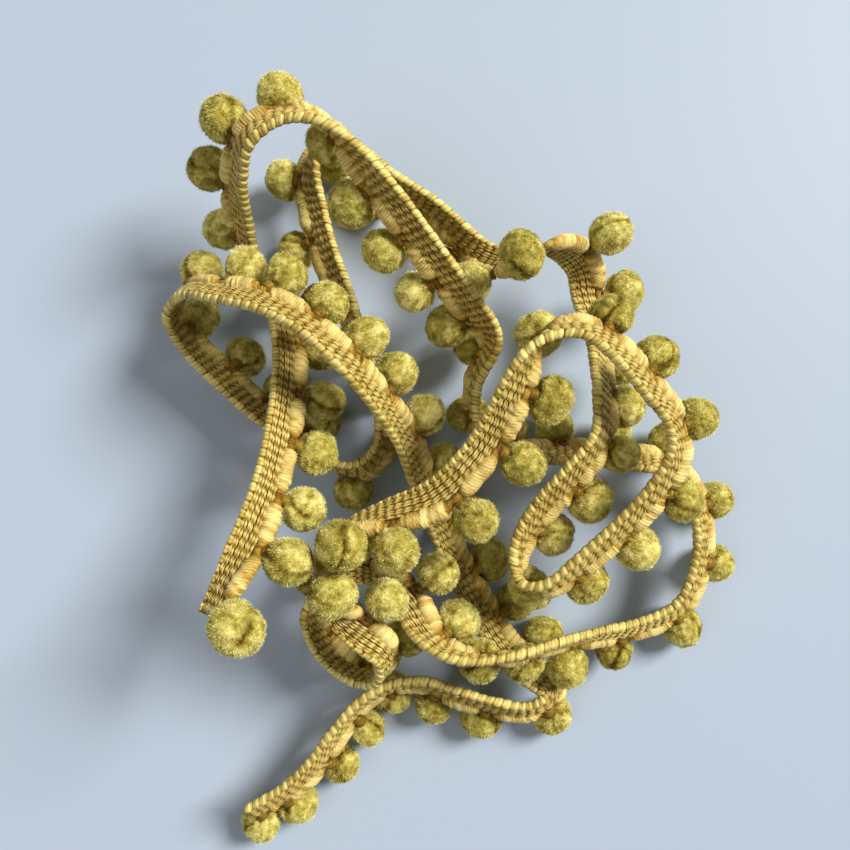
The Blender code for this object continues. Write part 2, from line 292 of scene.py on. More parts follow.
def hang_poms():
    count = int((S[-1] - FIRST_POM - LAST_POM) // POM_PITCH) + 1
    u = FIRST_POM + POM_PITCH * np.arange(count)
    if S[-1] - LAST_POM - u[-1] > LAST_PITCH:
        u = np.append(u, S[-1] - LAST_POM)
        count += 1
    root = spot(u, np.full(count, GIMP_AT_POM), np.zeros(count))
    want = spot(u, np.full(count, POM_REACH), np.zeros(count))
    neck = POM_REACH - GIMP_AT_POM
    for i, ahead in ((0, root[0] - spot(u[0] + 1.0, GIMP_AT_POM, 0.0)),
                     (-1, root[-1] - spot(u[-1] - 1.0, GIMP_AT_POM, 0.0))):
        out = (want[i] - root[i]) / neck
        ahead = ahead / np.linalg.norm(ahead)
        swing = math.radians(END_SPLAY[i])
        want[i] = root[i] + neck * (out * math.cos(swing) + ahead * math.sin(swing))
    low = want[:, 2] < REST_HEIGHT + REST_REACH
    want[low, 2] = REST_HEIGHT
    at = want.copy()
    band_u = np.arange(0.0, S[-1], 0.8)
    band = np.stack([spot(band_u, np.full(len(band_u), v), np.zeros(len(band_u)))
                     for v in (-1.9, -0.6, 0.7, 2.0, 3.2, 4.5)], 1)
    beside = np.array([-5.0, -4.2, -3.4, -2.6, -1.8, -1.1, 1.1, 1.8, 2.6, 3.4, 4.2, 5.0])
    edge = []
    for x in u:
        e = np.clip(x + beside, 0, S[-1])
        lobe = np.minimum(np.abs(e - x) / (POM_PITCH / 2), 1)
        v = GIMP_AT_POM + (GIMP_AT_LOBE - GIMP_AT_POM) * lobe
        t = (GIMP_THICK_POM + (GIMP_THICK_LOBE - GIMP_THICK_POM) * lobe) / 2
        edge.append(np.vstack([spot(e, v, t), spot(e, v, -t)]))
    for _ in range(400):
        push = np.zeros_like(at)
        gap = at[:, None] - at[None]
        dist = np.linalg.norm(gap, axis=2) + np.eye(count) * 99
        short = np.clip(2 * POM_RADIUS + POM_CLEAR - dist, 0, None)
        push += (gap / dist[..., None] * short[..., None]).sum(1) * 0.45
        for i in range(count):
            away = at[i] - band
            far = np.abs(band_u - u[i]) > 5.5
            d = np.linalg.norm(away, axis=2)
            d[~far] = 99
            k = np.unravel_index(d.argmin(), d.shape)
            miss = POM_RADIUS + 1.45 - d[k]
            if miss > 0:
                push[i] += away[k] / d[k] * miss * 0.6
            away = at[i] - edge[i]
            d = np.linalg.norm(away, axis=1)
            k = d.argmin()
            miss = POM_RADIUS + 0.25 - d[k]
            if miss > 0:
                push[i] += away[k] / d[k] * miss * 0.8
        at += push + 0.02 * (want - at)
        arm = at - root
        size = np.linalg.norm(arm, axis=1, keepdims=True)
        at = root + arm / size * np.clip(size, neck - 0.1, neck + 0.9)
        at[low, 2] = REST_HEIGHT
        at[:, 2] = np.maximum(at[:, 2], REST_HEIGHT)
    return u, root, at, low


POM_U, POM_ROOT, POM_AT, POM_LOW = hang_poms()
COUNT = len(POM_U)


# ---- meshes -------------------------------------------------------------------
def build(name, verts, faces, material, points=None):
    """Mesh object from arrays; points holds named numbers for each vertex."""
    verts = np.asarray(verts, float).reshape(-1, 3) + (SHIFT[0], SHIFT[1], 0.0)
    faces = np.asarray(faces, int)
    mesh = bpy.data.meshes.new(name)
    mesh.vertices.add(len(verts))
    mesh.vertices.foreach_set("co", (verts * 0.001).astype(np.float32).ravel())
    mesh.loops.add(faces.size)
    mesh.loops.foreach_set("vertex_index", faces.astype(np.int32).ravel())
    mesh.polygons.add(len(faces))
    mesh.polygons.foreach_set("loop_start", np.arange(0, faces.size, faces.shape[1], dtype=np.int32))
    mesh.update(calc_edges=True)
    mesh.shade_smooth()
    for key, value in (points or {}).items():
        value = np.asarray(value, np.float32)
        if value.ndim == 1:
            mesh.attributes.new(key, "FLOAT", "POINT").data.foreach_set("value", value)
        else:
            mesh.attributes.new(key, "FLOAT_VECTOR", "POINT").data.foreach_set("vector", value.ravel())
    mesh.materials.append(material)
    obj = bpy.data.objects.new(name, mesh)
    bpy.context.scene.collection.objects.link(obj)
    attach(obj, "root")
    return obj


def tube_faces(rings, sides, copies):
    """Triangles of many closed tubes, each rings x sides points and 2 tips."""
    one = []
    for r in range(rings - 1):
        for k in range(sides):
            a, b = r * sides + k, r * sides + (k + 1) % sides
            c, d = a + sides, b + sides
            one += [(a, b, d), (a, d, c)]
    t0, t1 = rings * sides, rings * sides + 1
    for k in range(sides):
        one.append((t0, (k + 1) % sides, k))
        one.append((t1, (rings - 1) * sides + k, (rings - 1) * sides + (k + 1) % sides))
    one = np.array(one)
    return (one[None] + (np.arange(copies) * (rings * sides + 2))[:, None, None]).reshape(-1, 3)


def threads(path_u, path_v, path_n, half_w, half_t, sides=5):
    """Short fat threads through rows of (u, v, n) points: arrays (copies, rings).

    Returns points (copies * (rings * sides + 2), 3), with their place along the
    thread.
    """
    copies, rings = path_u.shape
    ang = 2 * math.pi * (np.arange(sides) + 0.5) / sides
    du = np.gradient(path_u, axis=1)
    dv = np.gradient(path_v, axis=1)
    size = np.hypot(du, dv)
    across_u, across_v = -dv / size, du / size
    u = path_u[..., None] + (half_w * across_u)[..., None] * np.cos(ang)
    v = path_v[..., None] + (half_w * across_v)[..., None] * np.cos(ang)
    n = path_n[..., None] + half_t[..., None] * np.sin(ang)
    u, v, n = (x.reshape(copies, -1) for x in (u, v, n))
    ends = [0, -1]
    u = np.hstack([u, path_u[:, ends] + du[:, ends] * (-0.3, 0.3)])
    v = np.hstack([v, path_v[:, ends] + dv[:, ends] * (-0.3, 0.3)])
    n = np.hstack([n, path_n[:, ends]])
    s = np.repeat(np.linspace(0, 1, rings), sides)
    s = np.broadcast_to(np.concatenate([s, [0, 1]]), u.shape)
    return spot(np.clip(u, -0.6, LENGTH + 0.6), v, n).reshape(-1, 3), s.reshape(-1)


def end_past(u):
    """spot() stops at the ends of the route, so threads are kept inside it."""
    return np.clip(u, 0.05, LENGTH - 0.05)


# ---- materials ------------------------------------------------------------------
def nodes_of(name):
    mat = bpy.data.materials.new(name)
    mat.use_nodes = True
    tree = mat.node_tree
    bsdf = tree.nodes["Principled BSDF"]
    return mat, tree, bsdf


def add(tree, kind, **values):
    node = tree.nodes.new(kind)
    for key, value in values.items():
        if key in node.bl_rna.properties.keys():
            setattr(node, key, value)
        else:
            node.inputs[key.replace("_", " ")].default_value = value
    return node


def ramp(tree, stops):
    node = tree.nodes.new("ShaderNodeValToRGB")
    el = node.color_ramp.elements
    while len(el) < len(stops):
        el.new(0.5)
    for e, (at, colour) in zip(el, stops):
        e.position = at
        e.color = (*colour, 1.0)
    return node


def number(tree, key):
    node = tree.nodes.new("ShaderNodeAttribute")
    node.attribute_name = key
    return node


def yarn_material(name, deep, mid, light, rough=0.38, sheen=0.06, strands=9.0, bump=0.5,
                  lines=0.16):
    """Satin yarn: colour from the depth number, which holds painted shade where the thread lies deep and
    painted highlight on its crests, and from its own random tone, with fine filaments along it."""
    mat, tree, bsdf = nodes_of(name)
    link = tree.links.new
    depth, shade, thread = number(tree, "depth"), number(tree, "shade"), number(tree, "thread")
    noise = add(tree, "ShaderNodeTexNoise", Scale=900.0, Detail=2.0, Roughness=0.6)
    coord = tree.nodes.new("ShaderNodeTexCoord")
    link(coord.outputs["Object"], noise.inputs["Vector"])
    mix = add(tree, "ShaderNodeMath", operation="MULTIPLY_ADD")
    mix.inputs[1].default_value = 0.45
    link(noise.outputs["Fac"], mix.inputs[0])
    link(depth.outputs["Fac"], mix.inputs[2])
    second = add(tree, "ShaderNodeMath", operation="MULTIPLY_ADD")
    second.inputs[1].default_value = 0.30
    link(shade.outputs["Fac"], second.inputs[0])
    link(mix.outputs[0], second.inputs[2])
    wave = add(tree, "ShaderNodeTexWave", wave_type="BANDS", bands_direction="Y",
               Scale=strands / 20.0, Distortion=1.2, Detail=1.0)
    wave.inputs["Detail Scale"].default_value = 2.0
    link(thread.outputs["Vector"], wave.inputs["Vector"])
    third = add(tree, "ShaderNodeMath", operation="MULTIPLY_ADD")
    third.inputs[1].default_value = lines
    link(wave.outputs["Fac"], third.inputs[0])
    link(second.outputs[0], third.inputs[2])
    low = add(tree, "ShaderNodeMath", operation="SUBTRACT")
    low.inputs[1].default_value = 0.375 + lines / 2
    link(third.outputs[0], low.inputs[0])
    # the deep colour is painted shade and the light colour painted highlight; the depth number picks between
    # them
    colours = ramp(tree, [(0.0, deep), (0.45, mid), (1.0, light)])
    link(low.outputs[0], colours.inputs["Fac"])
    link(colours.outputs["Color"], bsdf.inputs["Base Color"])
    fine = add(tree, "ShaderNodeTexNoise", Scale=5200.0, Detail=1.0)
    link(coord.outputs["Object"], fine.inputs["Vector"])
    height = add(tree, "ShaderNodeMath", operation="MULTIPLY_ADD")
    height.inputs[1].default_value = 0.5
    link(fine.outputs["Fac"], height.inputs[0])
    link(wave.outputs["Fac"], height.inputs[2])
    b = add(tree, "ShaderNodeBump", Strength=bump, Distance=0.00008)
    link(height.outputs[0], b.inputs["Height"])
    link(b.outputs["Normal"], bsdf.inputs["Normal"])
    bsdf.inputs["Roughness"].default_value = rough
    bsdf.inputs["Specular IOR Level"].default_value = 0.35
    bsdf.inputs["Specular Tint"].default_value = (1.0, 0.84, 0.48, 1.0)
    bsdf.inputs["Sheen Weight"].default_value = sheen
    bsdf.inputs["Sheen Roughness"].default_value = 0.4
    bsdf.inputs["Sheen Tint"].default_value = (1.0, 0.86, 0.55, 1.0)
    return mat


def pile_material(name, deep, mid, light, sheen=0.5):
    """Cut yarn pile: colour from the depth number, painted shade in the clefts, near the neck and at the roots
    of the yarn ends and painted highlight on tuft crests and tips, with streaks from the neck and random
    clumps and tone.
    """
    mat, tree, bsdf = nodes_of(name)
    link = tree.links.new
    depth, shade = number(tree, "depth"), number(tree, "shade")
    coord = tree.nodes.new("ShaderNodeTexCoord")
    noise = add(tree, "ShaderNodeTexNoise", Scale=1500.0, Detail=3.0, Roughness=0.65)
    link(coord.outputs["Object"], noise.inputs["Vector"])
    clump = add(tree, "ShaderNodeTexNoise", Scale=520.0, Detail=1.0, Roughness=0.5)
    link(coord.outputs["Object"], clump.inputs["Vector"])
    zero = add(tree, "ShaderNodeMath", operation="MULTIPLY_ADD")
    zero.inputs[1].default_value = 0.80
    link(clump.outputs["Fac"], zero.inputs[0])
    link(depth.outputs["Fac"], zero.inputs[2])
    first = add(tree, "ShaderNodeMath", operation="MULTIPLY_ADD")
    first.inputs[1].default_value = 0.85
    link(noise.outputs["Fac"], first.inputs[0])
    link(zero.outputs[0], first.inputs[2])
    second = add(tree, "ShaderNodeMath", operation="MULTIPLY_ADD")
    second.inputs[1].default_value = 0.4
    link(shade.outputs["Fac"], second.inputs[0])
    link(first.outputs[0], second.inputs[2])
    low = add(tree, "ShaderNodeMath", operation="SUBTRACT")
    low.inputs[1].default_value = 0.985
    link(second.outputs[0], low.inputs[0])
    colours = ramp(tree, [(0.0, deep), (0.5, mid), (1.0, light)])
    link(low.outputs[0], colours.inputs["Fac"])
    link(colours.outputs["Color"], bsdf.inputs["Base Color"])
    fine = add(tree, "ShaderNodeTexNoise", Scale=3800.0, Detail=2.0, Roughness=0.7)
    link(coord.outputs["Object"], fine.inputs["Vector"])
    b = add(tree, "ShaderNodeBump", Strength=0.7, Distance=0.0002)
    link(fine.outputs["Fac"], b.inputs["Height"])
    link(b.outputs["Normal"], bsdf.inputs["Normal"])
    bsdf.inputs["Roughness"].default_value = 0.95
    bsdf.inputs["Specular IOR Level"].default_value = 0.04
    bsdf.inputs["Sheen Weight"].default_value = sheen
    bsdf.inputs["Sheen Roughness"].default_value = 0.5
    bsdf.inputs["Sheen Tint"].default_value = (0.95, 0.92, 0.45, 1.0)
    return mat


# deep colours are painted shade for grooves and pinches, light colours painted highlight on thread crests
BRAID = yarn_material("braid_yarn", (0.15, 0.070, 0.003), (0.315, 0.200, 0.027), (0.80, 0.64, 0.21))
LOOPS = yarn_material("edge_yarn", (0.16, 0.075, 0.003), (0.39, 0.262, 0.038), (0.92, 0.78, 0.28),
                      strands=10.0, bump=1.1, lines=0.22)
GIMP = yarn_material("gimp_yarn", (0.11, 0.045, 0.003), (0.46, 0.270, 0.036), (0.94, 0.76, 0.28),
                     rough=0.42, lines=0.14)
# The core is coloured dark brown as painted shade: it shows only in the gaps between the stitches, where shade
# falls.
CORE_PAINTED_SHADE = yarn_material("core_yarn_painted_shade", (0.11, 0.050, 0.004), (0.18, 0.085, 0.008), (0.26, 0.14, 0.02))
# Neck yarn coloured darker than the gimp: painted shade where the necks sit under the pompoms.
NECK_PAINTED_SHADE = yarn_material("neck_yarn_painted_shade", (0.10, 0.050, 0.003), (0.26, 0.16, 0.018), (0.42, 0.29, 0.05))
# The pompom body has darker colours than its yarn ends: painted shade under the fibres, with painted light on
# the ends.
PILE_SHADED = pile_material("pompom_pile", (0.10, 0.053, 0.002), (0.47, 0.393, 0.074), (0.95, 0.86, 0.32), sheen=0.1)
FUZZ_LIT = pile_material("pompom_fuzz_lit", (0.18, 0.120, 0.007), (0.72, 0.640, 0.160), (1.0, 0.98, 0.54), sheen=0.1)


# ---- braid: core, stitches, looped edge ------------------------------------------
def hash01(*keys):
    """Fixed pseudo-random numbers 0..1 for whole-number keys."""
    x = np.zeros(np.broadcast(*keys).shape)
    for k, key in enumerate(keys):
        x = x + np.asarray(key) * (12.9898 + 65.123 * k)
    y = np.sin(x) * 43758.5453
    return y - np.floor(y)


def braid_core():
    u = np.linspace(0.1, LENGTH - 0.1, int(LENGTH / 1.0))
    sect = [(-1.9, -0.25), (-1.9, 0.25), (-0.9, 0.42), (2.2, 0.36), (2.2, -0.36), (-0.9, -0.42)]
    pts = np.stack([spot(u, v, n) for v, n in sect], 1)
    m, k = len(u), len(sect)
    pts = np.vstack([pts.reshape(-1, 3), spot(u[:1], 0.2, 0.0), spot(u[-1:], 0.2, 0.0)])
    faces = tube_faces(m, k, 1)
    return pts, faces


# low constant depth keeps the core in painted shade
pts, faces = braid_core()
core = build("braid_core", pts, faces, CORE_PAINTED_SHADE,
             {"depth": np.full(len(pts), 0.2), "shade": np.full(len(pts), 0.5),
              "thread": np.zeros((len(pts), 3))})

rows = int((LENGTH - 0.6) / ROW_PITCH)
ROW_U = 0.3 + ROW_PITCH * 0.5 + (LENGTH - 0.6 - ROW_PITCH) * np.arange(rows) / (rows - 1)


def stitch_side(side):
    """All the stitches on one face of the braid: pairs of slanted threads."""
    parts, depth, shade, thread, count = [], [], [], [], 0
    rings, sides = (4, 5) if side > 0 else (3, 4)
    i = np.arange(rows)
    per = rings * sides + 2
    t = np.linspace(-1.0, 1.0, rings)[None]
    for c, (mid_v, half, strands) in enumerate(COLUMNS):
        wob = hash01(i, c, 1, side)
        slant = (0.10 if c < 3 else 0.04) + 0.14 * (hash01(i, c, 9, side) - 0.5)
        for k in range(strands):
            own = hash01(i, c, k + 3, side)
            off = (k - (strands - 1) / 2) * half * 0.90
            uu = ROW_U[:, None] + t * ROW_PITCH * 0.57 + (own[:, None] - 0.5) * 0.22 + 0.10 * c * side
            uu = uu + (0.10 if k else -0.10) * side
            vv = mid_v + off * (1 - 0.12 * t ** 2) + slant[:, None] * t * side
            vv = vv + (hash01(i, c, k + 11, side)[:, None] - 0.5) * 0.07
            arch = 1 - t ** 2
            lift = 0.40 + 0.28 * arch ** 0.7 + (wob[:, None] - 0.5) * 0.08
            if c == 3:
                lift = lift - 0.14
            nn = side * (lift + 0.0 * uu)
            fat = 1.0 + 0.22 * (hash01(i, c, k + 17, side)[:, None] - 0.5)
            hw = fat * (half / strands * 1.10) * (0.70 + 0.30 * np.sqrt(arch)) + 0.0 * uu
            p, q = threads(end_past(uu), vv + 0.0 * uu, nn, hw, hw * 0.9, sides)
            parts.append(p)
            around = np.tile(np.concatenate([np.tile(np.arange(sides), rings), [0, 0]]), rows)
            # painted light: each thread is lighter along the middle of its stitch and on its side facing out
            # of the braid, with painted shade where it dives in
            top = np.sin(2 * math.pi * (around + 0.5) / sides) * side
            crest = (1 - np.abs(2 * q - 1)) ** 0.8
            depth.append(np.clip(0.16 + 0.52 * crest + 0.28 * top, 0, 1))
            shade.append(np.repeat(0.6 * wob + 0.4 * own, per))
            thread.append(np.stack([q * 3, around / sides * 3 + 0.3, np.repeat(own, per)], 1))
            count += rows
    return (np.vstack(parts), tube_faces(rings, sides, count), np.concatenate(depth),
            np.concatenate(shade), np.vstack(thread))


stitches = []
for side, name in ((1, "braid_stitches_front"), (-1, "braid_stitches_back")):
    pts, faces, depth, shade, thread = stitch_side(side)
    stitches.append(build(name, pts, faces, BRAID,
                          {"depth": depth, "shade": shade, "thread": thread}))


def edge_loops():
    """Rope-like looped edge: one fat slanted loop round the edge for each row."""
    i = np.arange(rows)
    rings, sides = 6, 9
    turn = np.linspace(-1.0, 1.0, rings) * math.radians(128)   # round the edge, face to face
    wob = hash01(i, 5, 5, 5)
    slant = 0.26 + 0.18 * (hash01(i, 4, 9, 9)[:, None] - 0.5)
    uu = ROW_U[:, None] + slant * np.sin(turn)[None] + (wob[:, None] - 0.5) * 0.24
    big = 1 + 0.24 * (hash01(i, 1, 7, 3)[:, None] - 0.5)
    vv = LOOP_AT + 0.20 - 0.32 * big * np.cos(turn)[None] + 0.0 * uu
    nn = 0.60 * big * np.sin(turn)[None] + 0.0 * uu
    # sections square to the loop
    ang = 2 * math.pi * (np.arange(sides) + 0.5) / sides
    half_u = 0.98 * (1 - 0.24 * np.abs(turn / turn[-1]) ** 3)
    half_r = 0.33
    tile = 0.07                # one side of each loop lies over the next loop
    radial_v, radial_n = -np.cos(turn), np.sin(turn)
    boxy = np.sign(np.cos(ang)) * np.abs(np.cos(ang)) ** 0.9
    u = uu[..., None] + half_u[None, :, None] * boxy
    out = half_r * np.sign(np.sin(ang)) * np.abs(np.sin(ang)) ** 0.85 + tile * np.cos(ang)
    v = vv[..., None] + radial_v[None, :, None] * out
    n = nn[..., None] + radial_n[None, :, None] * out
    u, v, n = (np.broadcast_to(x, (rows, rings, sides)).reshape(rows, -1) for x in (u, v, n))
    u = np.hstack([u, uu[:, [0, -1]]])
    v = np.hstack([v, vv[:, [0, -1]] + 0.15])
    n = np.hstack([n, nn[:, [0, -1]]])
    pts = spot(end_past(u), v, n).reshape(-1, 3)
    round_ = np.concatenate([np.tile(np.sin(ang), rings), [0, 0]])
    place = np.concatenate([np.repeat(np.abs(turn / turn[-1]), sides), [1, 1]])
    lap = np.concatenate([np.tile(np.cos(ang), rings), [0, 0]])
    # painted light: each loop is lighter on its outer side and on the side that lies over the next loop, with
    # painted shade under the next loop and where it turns into the braid
    depth = np.tile(np.clip(0.44 + 0.34 * round_ + 0.20 * lap - 0.30 * place ** 2, 0, 1), rows)
    shade = np.repeat(hash01(i, 8, 2, 1), rings * sides + 2)
    along = np.concatenate([np.repeat(np.arange(rings) * 0.5, sides), [0, 0]])
    ar = np.concatenate([np.tile(np.arange(sides) / sides * 4, rings), [0, 0]])
    thread = np.stack([np.tile(along, rows), np.tile(ar, rows), np.repeat(wob, rings * sides + 2)], 1)
    return pts, tube_faces(rings, sides, rows), depth, shade, thread


pts, faces, depth, shade, thread = edge_loops()
loops = build("braid_edge_loops", pts, faces, LOOPS,
              {"depth": depth, "shade": shade, "thread": thread})


# ---- gimp: one wrapped cord that swells into a lobe between pompoms ---------------
def lobe_share(u):
    """0 where a neck leaves the gimp, 1 at the middle of a lobe."""
    gap = np.abs(u[:, None] - POM_U[None]).min(1)
    return np.clip((gap - 1.15) / 1.9, 0, 1)


def gimp_cord():
    rings = int(LENGTH / 0.19)
    sides = 12
    u = np.linspace(0.05, LENGTH - 0.05, rings)
    share = lobe_share(u)
    puff = np.sin(share * math.pi / 2) ** 0.75
    cut = np.clip(np.minimum(u, LENGTH - u) / 0.8, 0.15, 1) ** 0.5
    lobe_id = np.searchsorted(POM_U, u)
    plump = 1 + 0.22 * (hash01(lobe_id, 7, 2) - 0.5)
    half_w = (0.86 + 0.80 * puff * plump) * cut
    half_t = (0.60 + 0.82 * puff * plump) * cut
    mid_v = 3.14 - 0.06 * puff
    ang = 2 * math.pi * np.arange(sides) / sides
    tilt = 0.30 + 0.60 * (hash01(lobe_id, 3, 1) - 0.5)
    phase = (u[:, None] + tilt[:, None] * half_w[:, None] * np.cos(ang)[None]) / WRAP_PITCH
    turn = np.floor(phase)
    ridge = np.abs(np.sin(math.pi * phase)) ** 0.7
    wob = hash01(turn, 2, 9)
    swell = 1 - 0.13 * (1 - ridge) + 0.13 * (wob - 0.5)
    dent = 1 + 0.05 * np.sin(1.7 * u + 2.3 * hash01(lobe_id, 4, 4) * 6)[:, None] * np.cos(ang + 1.0)[None]
    v = mid_v[:, None] + half_w[:, None] * np.cos(ang) * swell * dent
    n = half_t[:, None] * np.sin(ang) * swell * dent
    pts = spot(np.repeat(u, sides), v.ravel(), n.ravel())
    pts = np.vstack([pts, spot(u[:1], 3.5, 0.0), spot(u[-1:], 3.5, 0.0)])
    # painted light: lighter on the crest of each wrap and over the faces and middle of each lobe, with painted
    # shade between the wraps and at the pinches by the necks; wob adds random tone
    depth = np.clip(0.02 + 0.34 * ridge + 0.42 * (puff[:, None] ** 1.5) * (0.6 + 0.4 * ridge)
                    + 0.22 * np.abs(np.sin(ang))[None] ** 1.5 * puff[:, None]
                    + 0.24 * (wob - 0.5), 0, 1)
    shade = wob
    thread = np.stack([np.tile(np.arange(sides) * 0.5, rings), phase.ravel() * 3.0, wob.ravel()], 1)
    tail = np.full(2, 0.3)
    return (pts, tube_faces(rings, sides, 1), np.concatenate([depth.ravel(), tail]),
            np.concatenate([shade.ravel(), tail]), np.vstack([thread, np.zeros((2, 3))]))


pts, faces, depth, shade, thread = gimp_cord()
gimp = build("gimp_cord", pts, faces, GIMP,
             {"depth": depth, "shade": shade, "thread": thread})


# ---- necks ------------------------------------------------------------------------
def pom_axes():
    axis = POM_AT - POM_ROOT
    axis /= np.linalg.norm(axis, axis=1)[:, None]
    w = on(FACE, POM_U)
    side = w - axis * (w * axis).sum(1)[:, None]
    side /= np.linalg.norm(side, axis=1)[:, None]
    return axis, side, np.cross(axis, side)


POM_AXIS, POM_SIDE, POM_OTHER = pom_axes()
POM_MID = POM_AT - POM_AXIS * 0.70     # the pile hides most of the neck
POM_MID[POM_LOW, 2] = 3.85

# pompoms that came out clearly larger or smaller than the others
POM_SIZES = [
    # which, size against a common one
    (0, 1.08), (1, 1.06), (2, 0.96), (38, 1.07), (40, 0.95), (41, 0.93), (43, 1.04),
    (52, 1.07), (44, 0.97), (14, 0.96), (76, 0.95), (79, 1.02),
]


def pom_build(i):
    """Size, stretch and combing of pompom i."""
    rng = np.random.default_rng(100 + i)
    squeeze = 1 + rng.uniform(-0.08, 0.08)
    stretch = np.array([rng.uniform(0.93, 1.08), squeeze, 1 / squeeze])
    size = dict(POM_SIZES).get(i, rng.uniform(0.95, 1.03))
    comb = rng.normal(size=(3, 3)) * 0.8
    lead = rng.normal(size=3) * 0.7
    tone = rng.uniform(0.15, 0.85)
    return size, stretch, comb, lead, tone


def necks():
    rings, sides = 9, 9
    t = np.linspace(0, 1, rings)
    ang = 2 * math.pi * np.arange(sides) / sides
    start = spot(POM_U, np.full(COUNT, 3.6), np.zeros(COUNT))
    stop = POM_AT - POM_AXIS * POM_RADIUS * 0.55
    line = start[:, None] + (stop - start)[:, None] * t[None, :, None]
    r = 1.05 - 0.12 * np.sin(math.pi * t) + 0.75 * t ** 2
    ridge = 1 + 0.10 * np.cos(2 * math.pi * t * 5)
    ring = (POM_SIDE[:, None, None] * np.cos(ang)[None, None, :, None]
            + POM_OTHER[:, None, None] * np.sin(ang)[None, None, :, None])
    pts = line[:, :, None] + ring * (r * ridge)[None, :, None, None]
    pts = pts.reshape(COUNT, -1, 3)
    pts = np.concatenate([pts, line[:, [0, -1]]], 1).reshape(-1, 3)
    per = rings * sides + 2
    # painted highlight on the ridges of the neck and painted shade between them
    depth = np.tile(np.concatenate([np.repeat(0.35 + 0.3 * (ridge - 1) * 5, sides), [0.2, 0.2]]), COUNT)
    shade = np.repeat(hash01(np.arange(COUNT), 6, 6), per)
    thread = np.tile(np.concatenate([np.stack([np.tile(np.arange(sides) * 0.4, rings),
                                               np.repeat(t * 5, sides), np.zeros(rings * sides)], 1),
                                     np.zeros((2, 3))]), (COUNT, 1))
    return pts, tube_faces(rings, sides, COUNT), np.clip(depth, 0, 1), shade, thread


pts, faces, depth, shade, thread = necks()
neck = build("pompom_necks", pts, faces, NECK_PAINTED_SHADE,
             {"depth": depth, "shade": shade, "thread": thread})


# ---- pompoms -----------------------------------------------------------------------
def ball(level_rings, level_sides):
    """Unit ball with its pole on the neck: points (polar, turn) and triangles."""
    polar = np.linspace(0, math.pi, level_rings + 2)[1:-1]
    turn = 2 * math.pi * np.arange(level_sides) / level_sides
    p = np.repeat(polar, level_sides)
    t = np.tile(turn, level_rings) + np.repeat(np.arange(level_rings) % 2, level_sides) * math.pi / level_sides
    x = np.stack([-np.cos(p), np.sin(p) * np.cos(t), np.sin(p) * np.sin(t)], 1)
    x = np.vstack([x, [(-1, 0, 0), (1, 0, 0)]])
    faces = []
    for r in range(level_rings - 1):
        for k in range(level_sides):
            a, b = r * level_sides + k, r * level_sides + (k + 1) % level_sides
            c, d = a + level_sides, b + level_sides
            if r % 2:
                faces += [(a, b, d), (a, d, c)]
            else:
                faces += [(a, b, c), (b, d, c)]
    t0, t1 = level_rings * level_sides, level_rings * level_sides + 1
    last = (level_rings - 1) * level_sides
    for k in range(level_sides):
        faces.append((t0, (k + 1) % level_sides, k))
        faces.append((t1, last + k, last + (k + 1) % level_sides))
    return x, np.array(faces)


def pom_shape(i, x):
    """How far the pile of pompom i reaches in each direction x (neck at -1,0,0),
    and how lit its tufts are (0 in a cleft, 1 on a crest)."""
    rng = np.random.default_rng(900 + i)
    reach = np.ones(len(x))
    crest = np.full(len(x), 0.75)
    # gentle lumps
    for _ in range(7):
        d = rng.normal(size=3)
        d /= np.linalg.norm(d)
        a = rng.uniform(-0.085, 0.075)
        reach += a * np.exp((x @ d - 1) * rng.uniform(2.5, 6))
    # clefts that run from the neck over the ball, where tufts part
    for _ in range(rng.integers(1, 3)):
        n = np.array([rng.uniform(-0.25, 0.25), *rng.normal(size=2)])
        n /= np.linalg.norm(n)
        bend = 0.16 * np.sin(3 * x[:, 0] + rng.uniform(0, 6))
        off = rng.uniform(-0.35, 0.35)
        miss = x @ n - off + bend * 0.6
        half = np.clip((x @ np.cross(n, (1.0, 0, 0))) * rng.choice([-1, 1]) * 3 + 0.6, 0, 1)
        depth = rng.uniform(0.03, 0.10)
        groove = np.exp(-(miss / rng.uniform(0.08, 0.16)) ** 2) * half
        reach -= depth * groove
        crest -= 0.55 * groove
    # fine tufts in rows from the neck
    turn = np.arctan2(x[:, 2], x[:, 1])
    ribs = np.cos(turn * rng.integers(5, 9) + rng.uniform(0, 6) + 1.4 * x[:, 0])
    ring = np.sqrt(np.clip(1 - x[:, 0] ** 2, 0, 1))
    reach += 0.014 * ribs * ring
    crest += 0.10 * ribs * ring
    # tufts about two millimetres apart
    for _ in range(4):
        a, b = rng.normal(size=(2, 3))
        a, b = a / np.linalg.norm(a), b / np.linalg.norm(b)
        tuft = np.cos(10.5 * (x @ a) + rng.uniform(0, 6)) * np.cos(9.0 * (x @ b) + rng.uniform(0, 6))
        reach += 0.018 * tuft
        crest += 0.10 * tuft
    # painted shade where it meets the neck
    near = np.clip((-x[:, 0] - 0.80) / 0.20, 0, 1)
    crest -= 0.40 * near
    return reach, np.clip(crest, 0, 1)


def settle(points, i):
    """A pompom that stands on the board is flat where it stands."""
    if POM_LOW[i]:
        points[:, 2] = np.maximum(points[:, 2], 0.06)
    return points


